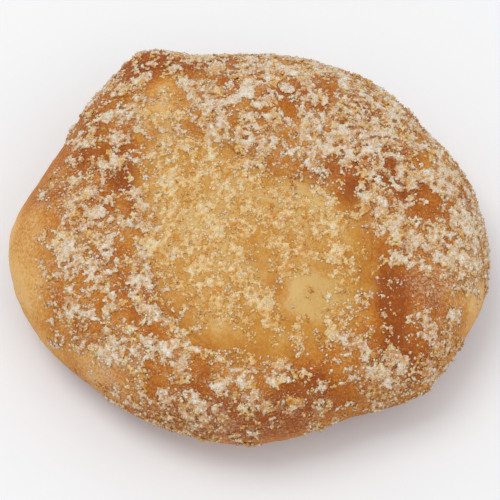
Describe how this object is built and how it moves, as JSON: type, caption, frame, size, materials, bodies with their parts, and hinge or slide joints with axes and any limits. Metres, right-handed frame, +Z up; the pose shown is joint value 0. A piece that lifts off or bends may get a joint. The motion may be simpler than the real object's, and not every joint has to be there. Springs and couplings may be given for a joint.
{
  "type": "custard-filled doughnut",
  "caption": "Flattish round fried yeast doughnut with custard in a shallow hollow in its top, covered in clumps of sugared crumble.",
  "frame": {"origin": "on the surface that the doughnut rests on, below the middle of its outline seen from above", "axes": "+X along the longest way across, +Y towards the pulled corner's side, away from the front, +Z up"},
  "size_m": [0.1104, 0.1013, 0.0329],
  "materials": {
    "crust": "golden to deep brown fried crust, matte, with pale sugared crumble",
    "custard": "baked custard, yellow, slightly shiny"
  },
  "bodies": {
    "root": {"dough": "crust", "custard": "custard"}
  },
  "joints": []
}
